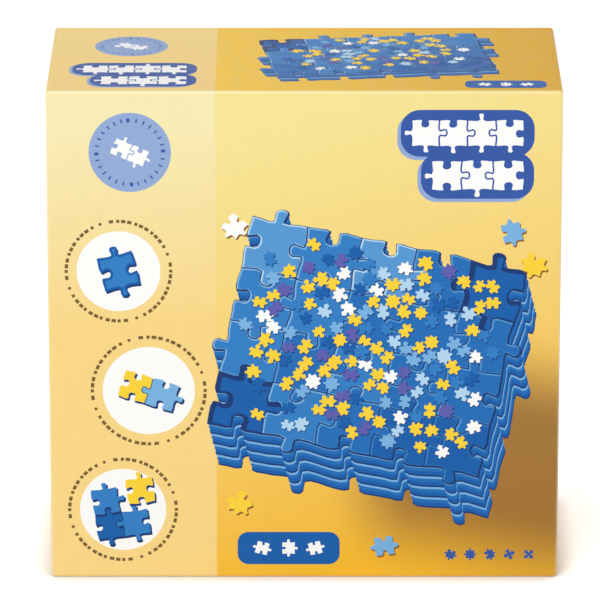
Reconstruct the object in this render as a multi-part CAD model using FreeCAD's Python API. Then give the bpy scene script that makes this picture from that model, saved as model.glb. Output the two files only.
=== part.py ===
import FreeCAD
import Part

import math
import os

from FreeCAD import Vector

# A rigid two-piece cardboard box that stands on its edge, as on a shelf, and the stack of eight
# plastic trays for sorting jigsaw pieces that it is sold with and that is kept in it.
#
# The lid is the deep half. Its large square panel is the box's front and faces -Y, and its four
# walls reach back over the base almost to the base's panel, which is the box's back and faces +Y.
# Each half is folded up from one board.
#
# A tray is shaped like a jigsaw piece: a tab on one side, a notch in each of the two sides beside
# it, and the fourth side open between its corners, for tipping the pieces out. The rim slopes down
# from the tab to the open side. In the stack every other tray is turned half round, so that the
# tall side of one lies over the low side of the next, and the rim of each pair is level again.
# A tray's wall stands on the rim of the tray below. The middle of its floor is a shallow square
# pan, whose underside is the foot that reaches down inside that rim, between the notches.
#
# Millimetres. X is the width, Y the depth and Z up. The origin is the middle of the bottom face.

# Trays
tray_pairs = 4
tray_span = 218.0        # across the notched sides, and from tab tip to tab tip of two turned trays
tab_wall = 17.2          # height of the wall above the foot, on the tab side
open_wall = 8.4          # the same on the open side
tray_wall = 1.3
tray_floor = 1.4
foot_height = 1.4
tray_corner = 11.0
tab_reach = 21.5
tab_radius = 23.5
neck_radius = 12.0
mouth_slope = 26.0       # lean of the two ends of the open side's gap, in degrees

# Box
board = 1.6              # board with its covering paper
corner_radius = 1.8      # where two walls meet

# Clearances
nest_play = 0.7          # from a tray's foot to the walls of the tray that it stands in
tray_play = 1.0          # from a tray to the walls of the base
lid_play = 0.8           # from the base to the walls of the lid
headroom = 1.0           # from the last tray's rim to the lid's panel
seat_gap = 0.2           # from the base's rim to the lid's panel
rim_reveal = 1.5         # how much of the base shows behind the lid's rim

# Derived sizes of a tray
half_span = tray_span / 2
half_length = half_span - tab_reach
lobe = tab_reach - tab_radius
rim_rise = (tab_wall - open_wall) / (2 * half_length)
rim_tilt = math.degrees(math.atan(rim_rise))
middle_wall = (tab_wall + open_wall) / 2
highest_wall = middle_wall + half_span * rim_rise
foot_half = half_length - tray_wall - nest_play

# A turned tray tilts with the rim that it stands on, and its own rim then lies half this much to
# one side of the stack's axis, and its foot as much to the other.
turned_shift = middle_wall * math.sin(math.radians(rim_tilt)) / 2
pair_pitch = middle_wall * (1 + math.cos(math.radians(rim_tilt))) + turned_shift * rim_rise
stack_height = tray_pairs * pair_pitch + foot_height

# Derived sizes of the box
base_inner = tray_span + 2 * tray_play
base_outer = base_inner + 2 * board
lid_inner = base_outer + 2 * lid_play
lid_outer = lid_inner + 2 * board
box_depth = board + headroom + stack_height + board
lid_depth = box_depth - rim_reveal
base_depth = box_depth - board - seat_gap
front_y = -box_depth / 2
back_y = box_depth / 2
centre_z = lid_outer / 2


def tray_arcs(inset):
    """The round stretches of a tray's outline, drawn in by inset from the outside of its wall.

    Each is a centre, a radius, and the angles in degrees that it runs between. Every centre stays
    where it is as the outline is drawn in. An arc whose angle falls is hollow seen from outside.
    """
    reach = tab_radius + neck_radius
    neck = math.sqrt(reach ** 2 - (neck_radius - lobe) ** 2)
    lean = math.degrees(math.asin((neck_radius - lobe) / reach))
    corner_x = half_span - tray_corner
    corner_y = half_length - tray_corner
    shoulder_x = half_span - neck_radius
    notch_x = half_span - lobe
    corner = tray_corner - inset
    shoulder = neck_radius - inset
    notch = tab_radius + inset
    return [
        ((corner_x, -corner_y), corner, -90, 0),
        ((shoulder_x, -neck), shoulder, 0, 90 - lean),
        ((notch_x, 0), notch, 270 - lean, 90 + lean),
        ((shoulder_x, neck), shoulder, lean - 90, 0),
        ((corner_x, corner_y), corner, 0, 90),
        ((neck, half_length + neck_radius), neck_radius + inset, 270, 180 + lean),
        ((0, half_length + lobe), tab_radius - inset, lean, 180 - lean),
        ((-neck, half_length + neck_radius), neck_radius + inset, -lean, -90),
        ((-corner_x, corner_y), corner, 90, 180),
        ((-shoulder_x, neck), shoulder, 180, 270 - lean),
        ((-notch_x, 0), notch, 90 - lean, lean - 90),
        ((-shoulder_x, -neck), shoulder, 90 + lean, 180),
        ((-corner_x, -corner_y), corner, 180, 270),
    ]


def on_circle(centre, radius, angle):
    turned = math.radians(angle)
    return Vector(centre[0] + radius * math.cos(turned), centre[1] + radius * math.sin(turned), 0)


def outline_prism(inset, low, high):
    """The tray's outline, drawn in by inset, as a solid between two heights."""
    arcs = [
        [on_circle(centre, radius, angle) for angle in (start, (start + end) / 2, end)]
        for centre, radius, start, end in tray_arcs(inset)
    ]
    edges = []
    for here, following in zip(arcs, arcs[1:] + arcs[:1]):
        edges.append(Part.Arc(*here).toShape())
        if here[2].distanceToPoint(following[0]) > 1e-6:
            edges.append(Part.LineSegment(here[2], following[0]).toShape())
    prism = Part.Face(Part.Wire(edges)).extrude(Vector(0, 0, high - low))
    prism.translate(Vector(0, 0, low))
    return prism


def square_prism(half, low, high):
    return Part.makeBox(2 * half, 2 * half, high - low, Vector(-half, -half, low))


def above_rim():
    """All that lies above the sloping rim."""
    size = 3 * tray_span
    block = Part.makeBox(size, size, size, Vector(-size / 2, -size / 2, 0))
    block.rotate(Vector(0, 0, 0), Vector(1, 0, 0), rim_tilt)
    block.translate(Vector(0, 0, foot_height + middle_wall))
    return block


def tray_mouth():
    """The gap in the wall on the open side, from one corner to the other."""
    low = foot_height + tray_floor
    high = foot_height + open_wall + tray_corner
    half_low = half_span - tray_corner
    half_high = half_low + (high - low) * math.tan(math.radians(mouth_slope))
    corners = [
        Vector(-half_low, 0, low),
        Vector(half_low, 0, low),
        Vector(half_high, 0, high),
        Vector(-half_high, 0, high),
    ]
    mouth = Part.Face(Part.makePolygon(corners + corners[:1])).extrude(Vector(0, tray_corner, 0))
    mouth.translate(Vector(0, -half_length - tray_corner / 2, 0))
    return mouth


def tray():
    """One tray, floor down, with its tab towards +Y and its open side towards -Y."""
    shelf = foot_height + tray_floor
    top = foot_height + highest_wall + tray_wall
    outside = outline_prism(0, foot_height, top).fuse(square_prism(foot_half, 0, foot_height))
    well = outline_prism(tray_wall, shelf, top)
    pan = square_prism(foot_half - tray_wall, tray_floor, shelf)
    return outside.cut(well).cut(pan).cut(tray_mouth()).cut(above_rim())


def box_half(width, depth):
    """A square panel in the XZ plane at Y 0, with four walls folded up towards +Y."""
    inner = width - 2 * board
    outside = Part.makeBox(width, depth, width, Vector(-width / 2, 0, -width / 2))
    corners = [e for e in outside.Edges if e.BoundBox.YLength > 0.9 * depth]
    outside = outside.makeFillet(corner_radius, corners)
    inside = Part.makeBox(inner, depth, inner, Vector(-inner / 2, board, -inner / 2))
    return outside.cut(inside)


def place_lid():
    lid = box_half(lid_outer, lid_depth)
    lid.translate(Vector(0, front_y, centre_z))
    return lid


def place_base():
    base = box_half(base_outer, base_depth)
    base.rotate(Vector(0, 0, 0), Vector(0, 0, 1), 180)
    base.translate(Vector(0, back_y, centre_z))
    return base


def place_pair(shape, pair):
    """Two trays of the stack, the level one and the turned one on it, with pair 0 on the base."""
    foot = foot_height * math.sin(math.radians(rim_tilt))
    drop = foot_height * math.cos(math.radians(rim_tilt))
    level = shape.copy()
    turned = shape.copy()
    turned.rotate(Vector(0, 0, 0), Vector(0, 0, 1), 180)
    turned.rotate(Vector(0, 0, 0), Vector(1, 0, 0), rim_tilt)
    rim = foot_height + middle_wall + turned_shift * rim_rise
    turned.translate(Vector(0, turned_shift + foot, rim - drop))
    for placed in (level, turned):
        placed.rotate(Vector(0, 0, 0), Vector(1, 0, 0), 90)
        placed.translate(Vector(0, back_y - board - pair * pair_pitch, centre_z))
    return level, turned


def main():
    os.makedirs("parts", exist_ok=True)
    pieces = {"box_lid": place_lid(), "box_base": place_base()}
    one_tray = tray()
    for pair in range(tray_pairs):
        level, turned = place_pair(one_tray, pair)
        pieces["tray_%d" % (2 * pair + 1)] = level
        pieces["tray_%d" % (2 * pair + 2)] = turned
    for name, shape in pieces.items():
        shape.exportStep("parts/%s.step" % name)
        print(name, len(shape.Solids), shape.isValid(), round(shape.Volume / 1000, 2), "cm3")


main()
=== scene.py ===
"""Dresses a boxed set of jigsaw puzzle sorting trays: the printed box, its trays and a stage.

The drawing functions work in millimetres, and a mesh is scaled to metres as it is made.
"""

import math
import random
from collections import namedtuple
from types import SimpleNamespace

import bmesh
import bpy
from bpy.props import FloatProperty, FloatVectorProperty, IntProperty, PointerProperty
from mathutils import Matrix, Vector
from mathutils.geometry import delaunay_2d_cdt


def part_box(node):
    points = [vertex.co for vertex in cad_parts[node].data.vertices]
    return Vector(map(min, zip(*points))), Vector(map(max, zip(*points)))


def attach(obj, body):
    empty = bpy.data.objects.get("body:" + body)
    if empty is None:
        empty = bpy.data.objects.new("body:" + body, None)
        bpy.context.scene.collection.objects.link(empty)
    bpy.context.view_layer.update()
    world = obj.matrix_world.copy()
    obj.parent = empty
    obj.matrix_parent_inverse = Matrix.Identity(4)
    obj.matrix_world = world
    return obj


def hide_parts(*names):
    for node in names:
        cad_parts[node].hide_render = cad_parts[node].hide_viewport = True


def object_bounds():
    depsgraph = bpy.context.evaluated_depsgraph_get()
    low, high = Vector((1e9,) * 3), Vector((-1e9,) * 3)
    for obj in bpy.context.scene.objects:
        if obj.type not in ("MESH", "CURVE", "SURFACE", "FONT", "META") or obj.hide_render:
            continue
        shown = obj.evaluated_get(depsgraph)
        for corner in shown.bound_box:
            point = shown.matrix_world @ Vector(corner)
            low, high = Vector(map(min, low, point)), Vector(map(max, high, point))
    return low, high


bl_info = {
    "name": "Sorting Tray Box",
    "version": (1, 0, 0),
    "blender": (4, 5, 0),
    "location": "3D View > Sidebar > Tray Box",
    "description": "Builds the printed box, the moulded trays and the stage around the packed frame",
    "category": "Object",
}

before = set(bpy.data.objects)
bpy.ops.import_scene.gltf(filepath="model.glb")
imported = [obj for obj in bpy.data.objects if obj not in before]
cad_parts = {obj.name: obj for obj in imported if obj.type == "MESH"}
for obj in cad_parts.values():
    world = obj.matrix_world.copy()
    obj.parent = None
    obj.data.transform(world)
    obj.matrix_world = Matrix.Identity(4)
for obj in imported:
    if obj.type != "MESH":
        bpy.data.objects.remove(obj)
cad_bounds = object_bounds()

MM = 0.001
WELD = 2e-6     # points of a mesh that are nearer than this become one, in metres
SNAP = 0.002    # the same for the outlines of a print, in millimetres


def linear(red, green, blue):
    """A colour written as 0 to 255, as the linear values that shaders take."""
    shares = [value / 255 for value in (red, green, blue)]
    return tuple(s / 12.92 if s <= 0.04045 else ((s + 0.055) / 1.055) ** 2.4 for s in shares)


def length(name, description, millimetres):
    """A size property in metres, from its default in millimetres."""
    return FloatProperty(
        name=name,
        description=description,
        default=millimetres * MM,
        min=0,
        unit="LENGTH",
        precision=5,
    )


def slant(name, description, degrees):
    """An angle property, from its default in degrees."""
    return FloatProperty(
        name=name, description=description, default=math.radians(degrees), subtype="ANGLE"
    )


def amount(name, description, default):
    """A plain number property that is never negative."""
    return FloatProperty(name=name, description=description, default=default, min=0)


def colour(name, description, *levels):
    """A colour property, from its default as 0 to 255."""
    return FloatVectorProperty(
        name=name,
        description=description,
        default=linear(*levels),
        size=3,
        min=0,
        max=1,
        subtype="COLOR",
    )


class BoxSizes(bpy.types.PropertyGroup):
    """Sizes of the two box halves."""

    board: length("Board", "Thickness of the board with its paper", 1.6)
    corner_radius: length("Corner Radius", "Rounding where two walls meet", 1.8)
    fold_radius: length("Fold Radius", "Rounding of the fold round the large panel", 1.4)
    rim_radius: length("Rim Radius", "Rounding of the paper over a rim", 0.5)
    inner_radius: length("Inner Radius", "Rounding of the inside corners", 0.35)
    turn_in: length("Turn-in", "How far the covering paper reaches inside from a rim", 16)
    paper: length("Paper", "Thickness of the covering paper", 0.12)
    column: length("Column", "Width of the pale column of the print", 74.7)


class TraySizes(bpy.types.PropertyGroup):
    """Sizes of one tray and of the stack."""

    pairs: IntProperty(
        name="Pairs", description="Pairs of trays in the stack", default=4, min=1, max=4
    )
    span: length("Span", "Width across the notched sides", 218)
    tab_wall: length("Tab Wall", "Height of the wall on the tab side", 17.2)
    open_wall: length("Open Wall", "Height of the wall on the open side", 8.4)
    wall: length("Wall", "Thickness of the wall", 1.3)
    floor: length("Floor", "Thickness of the floor", 1.4)
    foot: length("Foot", "Height of the foot under the floor", 1.4)
    corner: length("Corner", "Radius of the four corners", 11)
    reach: length("Tab Reach", "How far the tab stands out", 21.5)
    tab_radius: length("Tab Radius", "Radius of the tab and the notches", 23.5)
    neck_radius: length("Neck Radius", "Radius at the roots of the tab and the notches", 12)
    play: length("Nesting Play", "Room from a foot to the walls round it", 0.7)
    rim: length("Rim Rounding", "Rounding of the rim", 0.5)
    ledge: length("Ledge", "Height of the step at the foot of the wall", 1.1)
    ledge_width: length("Ledge Width", "Width of the step at the foot of the wall", 1.2)
    soft: length("Ledge Rounding", "Rounding of the step at the foot of the wall", 0.3)
    edge: length("Edge Rounding", "Rounding round the underside and the foot", 0.5)
    foot_corner: length("Foot Corner", "Radius of the foot's corners", 1.2)
    pan_corner: length("Pan Corner", "Radius of the corners of the square pan", 1.6)
    pan_soft: length("Pan Rounding", "Rounding round the square pan", 0.4)
    mouth: slant("Mouth Slope", "Lean of the two wall ends at the open side", 26)


class PrintColours(bpy.types.PropertyGroup):
    """Colours of the print, the board and the trays."""

    column_upper: colour("Column Top", "Pale column at the top of the front", 244, 232, 178)
    column_lower: colour("Column Foot", "Pale column at the foot of the front", 247, 212, 131)
    field_upper: colour("Field Top", "Wide field at the top of the front", 244, 227, 150)
    field_lower: colour("Field Foot", "Wide field at the foot of the front", 245, 186, 42)
    shelf_column: colour("Top Column", "Pale column on the walls", 251, 218, 138)
    shelf_field: colour("Wall Field", "Wide field on the walls, at its left", 250, 204, 66)
    shelf_far: colour("Wall Field Far", "Wide field on the walls, at its right", 226, 172, 20)
    back_lower: colour("Back Foot", "Pieces over the back panel, at its foot", 250, 212, 108)
    shade: colour("Picture Shade", "Soft shade printed beside the large picture", 140, 93, 46)
    # Pale paper of rubbed folds, which also serves as a painted highlight along the folds.
    rubbed_and_highlight: colour("Rubbed Paper And Highlight", "Paper fibres where a fold is rubbed", 255, 249, 226)
    white: colour("White", "Paper white", 250, 250, 248)
    ink_blue: colour("Ink Blue", "Plaque and ticks", 50, 87, 163)
    night: colour("Night Blue", "Darkest blue of the picture", 9, 52, 112)
    deep: colour("Deep Blue", "Deep blue of the picture", 10, 92, 168)
    azure: colour("Azure", "Blue between the deep and the middle one", 27, 107, 181)
    middle: colour("Middle Blue", "Middle blue of the picture", 46, 124, 194)
    light: colour("Soft Blue", "Blue between the middle and the light one", 84, 150, 208)
    sky: colour("Sky Blue", "Light blue of the picture", 120, 176, 222)
    pale: colour("Pale Blue", "Palest blue of the picture", 178, 212, 238)
    violet: colour("Violet", "Violet of the small pieces", 92, 92, 172)
    lilac: colour("Lilac", "Badge and drop shade", 145, 169, 212)
    sun: colour("Sun Yellow", "Yellow of the small pieces", 248, 210, 54)
    brown: colour("Brown", "Dashes round the discs", 117, 92, 46)
    liner: colour("Liner", "Unprinted board inside", 214, 206, 190)
    tray: colour("Tray Blue", "Moulded plastic", 12, 97, 169)


class StageSettings(bpy.types.PropertyGroup):
    """The camera, the lamps and the floor."""

    elevation: slant("Elevation", "Camera height above the horizon", 18)
    distance: length("Distance", "From the camera to the front of the box", 2600)
    field: length("Field", "Width of the picture at the front of the box", 266.8)
    aim_height: length("Aim Height", "Height that the camera looks at", 131.6)
    aim_left: length("Aim Left", "How far left of the middle the camera looks", 1.9)
    lamp_power: FloatProperty(
        name="Lamp Power", description="Power of the main lamp", default=35, min=0, unit="POWER"
    )
    sky_level: amount("Sky Level", "Brightness of the light all round", 0.7)
    floor_glow: amount("Floor Glow", "White that the floor adds to its own where it is seen", 0.45)
    contact: length("Contact", "Round the foot of the box, where the glow gives way to the shadow", 12)


GROUPS = {
    "tray_box_sizes": BoxSizes,
    "tray_sizes": TraySizes,
    "tray_box_colours": PrintColours,
    "tray_box_stage": StageSettings,
}


def in_millimetres(group):
    """A property group's lengths in millimetres, and its other values as they are."""
    found = {}
    for name, item in group.bl_rna.properties.items():
        if item.type in ("FLOAT", "INT") and name in type(group).__annotations__:
            value = getattr(group, name)
            found[name] = value / MM if getattr(item, "unit", "") == "LENGTH" else value
    return SimpleNamespace(**found)


# Drawing

BLUES = ("night", "deep", "azure", "middle", "light", "sky", "pale", "white")


def disc(radius, count=64):
    """A circle about the origin, as that many points."""
    angles = [math.tau * k / count for k in range(count)]
    return [(radius * math.cos(a), radius * math.sin(a)) for a in angles]


def placed(points, x=0, y=0, turn=0, scale=1):
    """Points turned by an angle in degrees, scaled, and moved."""
    c, s = math.cos(math.radians(turn)) * scale, math.sin(math.radians(turn)) * scale
    return [(x + c * px - s * py, y + s * px + c * py) for px, py in points]


def plate(width, height, radius, count=7):
    """A rectangle with round corners, about the origin."""
    corners = []
    for i, (sx, sy) in enumerate(((1, 1), (-1, 1), (-1, -1), (1, -1))):
        cx, cy = sx * (width / 2 - radius), sy * (height / 2 - radius)
        for k in range(count + 1):
            angle = math.pi / 2 * (i + k / count)
            corners.append((cx + radius * math.cos(angle), cy + radius * math.sin(angle)))
    return corners


def sector(low, high, start, end, count=2):
    """A short stretch of a round band, with its angles in degrees."""
    angles = [math.radians(start + (end - start) * k / count) for k in range(count + 1)]
    outer = [(high * math.cos(a), high * math.sin(a)) for a in angles]
    return outer + [(low * math.cos(a), low * math.sin(a)) for a in reversed(angles)]


def rectangle(left, low, right, high):
    """A rectangle between those four sides."""
    return [(left, low), (right, low), (right, high), (left, high)]


def area(points):
    """The area inside an outline, which is negative for a clockwise one."""
    following = points[1:] + points[:1]
    return sum(a[0] * b[1] - b[0] * a[1] for a, b in zip(points, following)) / 2


def drawn_in(points, by):
    """A counterclockwise outline drawn in by a small distance."""
    shortest, sharpest = 1e-6, 0.5
    moved = []
    for before, here, after in zip(points[-1:] + points[:-1], points, points[1:] + points[:1]):
        one = Vector(here) - Vector(before)
        two = Vector(after) - Vector(here)
        if one.length < shortest or two.length < shortest:
            continue
        normal = Vector((-one.y, one.x)).normalized() + Vector((-two.y, two.x)).normalized()
        share = max(normal.length_squared / 2, sharpest)
        step = Vector(here) + normal * (by / share)
        moved.append((step.x, step.y))
    return moved


def cubic(controls, t):
    """The point at t, from 0 to 1, of the curve with those four control points."""
    a, b, c, d = controls
    return (1 - t) ** 3 * a + 3 * t * (1 - t) ** 2 * b + 3 * t * t * (1 - t) * c + t ** 3 * d


def knob_line(start, end, side, wobble, steps):
    """The line that two jigsaw pieces share, with its knob to the left for side 1, without its end.

    It is three curves, for the shoulder, the knob and the other shoulder, of as many steps each.
    Their control points are shares of the line's length, moved a little by the numbers of wobble.
    """
    along = Vector(end) - Vector(start)
    across = Vector((-along.y, along.x)) * side
    first_sag, shift, depth, pinch, last_sag = wobble
    middle, neck = 0.5 + shift, 0.1
    controls = [
        (0, 0), (0.2, first_sag), (middle + pinch, depth - neck), (middle - neck, depth + neck),
        (middle - 2 * neck - pinch, depth + 3 * neck), (middle + 2 * neck - pinch, depth + 3 * neck),
        (middle + neck, depth + neck), (middle + pinch, depth - neck), (0.8, last_sag), (1, 0),
    ]
    line = []
    for first, count in zip((0, 3, 6), steps):
        four = [Vector(control) for control in controls[first:first + 4]]
        for k in range(count):
            spot = cubic(four, k / count)
            line.append(tuple(Vector(start) + along * spot.x + across * spot.y))
    return line


class Jigsaw:
    """A sheet of interlocking pieces about the origin, with knobs all round unless its rim is flat.

    steps are those of each line's three curves, and jitter is how far their control points move.
    """

    def __init__(self, columns, rows, pitch, seed, flat=False, steps=(5, 8, 5), jitter=0.035):
        self.columns, self.rows, self.pitch = columns, rows, pitch
        self.draw = random.Random(seed)
        self.steps, self.jitter = steps, jitter
        self.level = [
            [self.line((i, j), (i + 1, j), flat and j in (0, rows)) for i in range(columns)]
            for j in range(rows + 1)
        ]
        self.upright = [
            [self.line((i, j), (i, j + 1), flat and i in (0, columns)) for i in range(columns + 1)]
            for j in range(rows)
        ]

    def spot(self, i, j):
        """The corner that many columns and rows from the sheet's first."""
        return (i - self.columns / 2) * self.pitch, (j - self.rows / 2) * self.pitch

    def line(self, start, end, straight):
        """The line between two corners, without its end."""
        side = self.draw.choice((-1, 1))
        wobble = [self.draw.uniform(-self.jitter, self.jitter) for _ in range(5)]
        start, end = self.spot(*start), self.spot(*end)
        return [start] if straight else knob_line(start, end, side, wobble, self.steps)

    def back(self, line, end):
        """A line the other way round, without its end."""
        return [end] + line[:0:-1]

    def piece(self, i, j):
        """The outline of one piece, counterclockwise."""
        return (
            self.level[j][i]
            + self.upright[j][i + 1]
            + self.back(self.level[j + 1][i], self.spot(i + 1, j + 1))
            + self.back(self.upright[j][i], self.spot(i, j + 1))
        )

    def pieces(self):
        """Each piece's column, row and outline."""
        return [(i, j, self.piece(i, j)) for j in range(self.rows) for i in range(self.columns)]

    def outlines(self):
        """The outline of each piece."""
        return [piece for _, _, piece in self.pieces()]

    def rim(self):
        """The outline of the whole sheet, counterclockwise."""
        points = []
        for i in range(self.columns):
            points += self.level[0][i]
        for j in range(self.rows):
            points += self.upright[j][self.columns]
        for i in reversed(range(self.columns)):
            points += self.back(self.level[self.rows][i], self.spot(i + 1, self.rows))
        for j in reversed(range(self.rows)):
            points += self.back(self.upright[j][0], self.spot(0, j + 1))
        return points


def single_piece(size, seed, steps=(4, 6, 4)):
    """One jigsaw piece about the origin."""
    return Jigsaw(1, 1, size, seed, steps=steps, jitter=0.02).piece(0, 0)


class Sheet:
    """Printed shapes in the order that they are laid down, each with its ink."""

    def __init__(self):
        self.shapes = []

    def add(self, points, ink, x=0, y=0, turn=0, scale=1):
        """Lays down a shape, counterclockwise."""
        points = placed(points, x, y, turn, scale)
        self.shapes.append((points if area(points) > 0 else points[::-1], ink))

    def dashes(self, x, y, radius, ink):
        """A ring of four groups of short dashes, with a dot between two groups."""
        groups, count, first_dot, depth = 4, 11, 20, 1.5
        share, gap, long, short = 360 / groups, 16, 0.72, 0.5
        pitch = (share - gap) / count
        low, high = radius - depth / 2, radius + depth / 2
        for group in range(groups):
            dot = share * group + first_dot
            self.add(placed(disc(depth / 2, count=12), radius), ink, x, y, dot)
            for k in range(count):
                start = dot + gap / 2 + pitch * k
                end = start + pitch * (long if k % 3 else short)
                self.add(sector(low, high, start, end), ink, x, y)

    def loose(self, x, y, size, turn, seed, ink, shade="night", lift=0.45):
        """A small loose piece with the dark edge that shows its thickness."""
        piece, slant_share = single_piece(size, seed, steps=(2, 4, 2)), 0.7
        self.add(piece, shade, x + lift * slant_share, y - lift, turn)
        self.add(piece, ink, x, y, turn)


def stack_sides(sheet, place, rim, layers):
    """The edges of the sheets in a stack, each dark at its foot and light along its top."""
    x, y, turn = place
    thickness, lean, outline, shadow = 5.0, 0.25, 0.35, (0.3, -0.4)
    for layer in reversed(range(layers)):
        for share, ink in ((1.0, "night"), (0.84, "deep"), (0.52, "azure"), (0.2, "sky")):
            drop = thickness * (layer + share)
            sheet.add(rim, ink, x + lean * drop, y - drop, turn)
    sheet.add(drawn_in(rim, -outline), "night", x + shadow[0], y + shadow[1], turn)


def top_pieces(sheet, place, jigsaw, gaps, draw):
    """The pieces of the top sheet with their light edges, and the dark beds of those that are out."""
    x, y, turn = place
    line, edge, edge_shift, bed, bed_shift = 0.3, 0.72, 0.3, 1.3, 0.9
    darkest, range_of_light, unevenness, edge_tones = 1, 2.2, (-0.4, 1.4), 2
    for i, j, piece in jigsaw.pieces():
        lit = (1 - i / (jigsaw.columns - 1) + j / (jigsaw.rows - 1)) / 2
        tone = round(darkest + range_of_light * lit + draw.uniform(*unevenness))
        if (i, j) in gaps:
            sheet.add(piece, "night", x, y, turn)
            sheet.add(drawn_in(piece, bed), "deep", x + bed_shift, y - bed_shift, turn)
        else:
            sheet.add(drawn_in(piece, line), BLUES[tone + edge_tones], x, y, turn)
            sheet.add(drawn_in(piece, edge), BLUES[tone], x + edge_shift, y - edge_shift, turn)


def strewn_pieces(sheet, place, half, count, size, draw):
    """Small pieces strewn over the top sheet, most of them near its middle, and none on another."""
    inks = ("sun", "white", "sky", "sun", "violet", "pale", "sun", "middle", "sun", "deep")
    spread, apart, reach = 0.36, size * 1.05, (half[0] * 0.9, half[1] * 0.88)
    smallest, kinds = 0.8, 9
    taken = []
    while len(taken) < count:
        x, y = draw.gauss(0, half[0] * spread), draw.gauss(0, half[1] * spread)
        near = any(math.hypot(x - other_x, y - other_y) < apart for other_x, other_y in taken)
        if near or abs(x) > reach[0] or abs(y) > reach[1]:
            continue
        taken.append((x, y))
        spot = placed([(x, y)], *place)[0]
        ink = inks[len(taken) % len(inks)]
        drawn_size, turn = size * draw.uniform(smallest, 1.0), draw.uniform(0, 360)
        sheet.loose(*spot, drawn_size, turn, draw.randrange(kinds), ink)


def mosaic(sheet, place, columns, rows, pitch, seed, layers, gaps, small, size):
    """A tilted stack of jigsaw sheets, lit from the upper left, with small pieces strewn over it.

    place is its middle and its turn. gaps are the pieces that are out of the top sheet, and small
    and size are how many small pieces there are, and how large.
    """
    jigsaw = Jigsaw(columns, rows, pitch, seed, steps=(4, 7, 4))
    draw = random.Random(seed + 1)
    stack_sides(sheet, place, jigsaw.rim(), layers)
    top_pieces(sheet, place, jigsaw, gaps, draw)
    strewn_pieces(sheet, place, (columns * pitch / 2, rows * pitch / 2), small, size, draw)


PlaqueRow = namedtuple("PlaqueRow", "x y width pieces pitch seed")


def plaque(sheet, x, y, scale=1.0):
    """A blue plaque of two rows with white jigsaw strips and a lilac drop shade."""
    height, corner, drop, gap = 21.5, 8.5, 1.5, 0.38
    rows = (PlaqueRow(0, 9.8, 59, 4, 12.4, 31), PlaqueRow(4.5, -9.6, 50, 3, 13.6, 38))
    for shift, ink in ((-drop, "lilac"), (0, "ink_blue")):
        for row in rows:
            spot = x + (row.x + shift) * scale, y + (row.y + shift) * scale
            sheet.add(plate(row.width, height, corner), ink, *spot, scale=scale)
    for row in rows:
        for piece in Jigsaw(row.pieces, 1, row.pitch, row.seed, jitter=0.02).outlines():
            sheet.add(drawn_in(piece, gap), "white", x + row.x * scale, y + row.y * scale, scale=scale)


def one_piece(sheet, x, y, radius):
    """A sign of one blue piece."""
    piece = single_piece(radius * 0.86, seed=4, steps=(5, 8, 5))
    turn, shadow, edge, edge_shift = 14, (0.6, -1.0), 1.1, 0.15
    sheet.add(piece, "night", x + shadow[0], y + shadow[1], turn)
    sheet.add(piece, "deep", x, y, turn)
    sheet.add(drawn_in(piece, edge), "middle", x + edge_shift, y - edge_shift, turn)


def two_pieces(sheet, x, y, radius):
    """A sign of a yellow and a blue piece, joined."""
    pieces = Jigsaw(2, 1, radius * 0.62, seed=12).outlines()
    turn, shadow, gap = -18, (0.6, -0.9), 0.2
    for piece in pieces:
        sheet.add(piece, "night", x + shadow[0], y + shadow[1], turn)
    for piece, ink in zip(pieces, ("sun", "sky")):
        sheet.add(drawn_in(piece, gap), ink, x, y, turn)


def four_pieces(sheet, x, y, radius):
    """A sign of three blue pieces, and a yellow one that is lifted off their corner."""
    pieces = Jigsaw(2, 2, radius * 0.62, seed=3).outlines()
    turn, shadow, gap, lifted, joined = 8, (0.6, -0.9), 0.2, (2.6, 2.4), (-1, -1)
    for piece, ink in zip(pieces, ("deep", "middle", "middle", "sun")):
        shift_x, shift_y = lifted if ink == "sun" else joined
        spot_x, spot_y = x + shift_x, y + shift_y
        sheet.add(piece, "night", spot_x + shadow[0], spot_y + shadow[1], turn)
        sheet.add(drawn_in(piece, gap), ink, spot_x, spot_y, turn)


def round_picture(sheet, x, y, radius, sign):
    """A white disc with a sign on it, in a ring of brown dashes."""
    room = 4.6
    sheet.add(disc(radius), "white", x, y)
    sheet.dashes(x, y, radius + room, "brown")
    sign(sheet, x, y, radius)


def badge(sheet, x, y, radius):
    """A lilac disc with two white pieces and a ring of ticks, each seventh of them wide."""
    ticks, narrow, wide, gap, turn = 28, 2.6, 5.4, 0.25, -24
    inner, outer = radius * 0.76, radius * 0.86
    sheet.add(disc(radius), "lilac", x, y)
    for k in range(ticks):
        start = 360 * k / ticks
        end = start + (narrow if k % 7 else wide)
        sheet.add(sector(inner, outer, start, end), "ink_blue", x, y)
    for piece in Jigsaw(2, 1, radius * 0.44, seed=5).outlines():
        sheet.add(drawn_in(piece, gap), "white", x, y, turn)


def label(sheet, x, y, width, height):
    """A plain blue label with three small white pieces."""
    corner, size, pitch, turn = height * 0.32, height * 0.36, width * 0.26, 14
    sheet.add(plate(width, height, corner), "deep", x, y)
    for k in (-1, 0, 1):
        sheet.add(single_piece(size, seed=6 + k), "white", x + k * pitch, y, turn * k)


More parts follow.
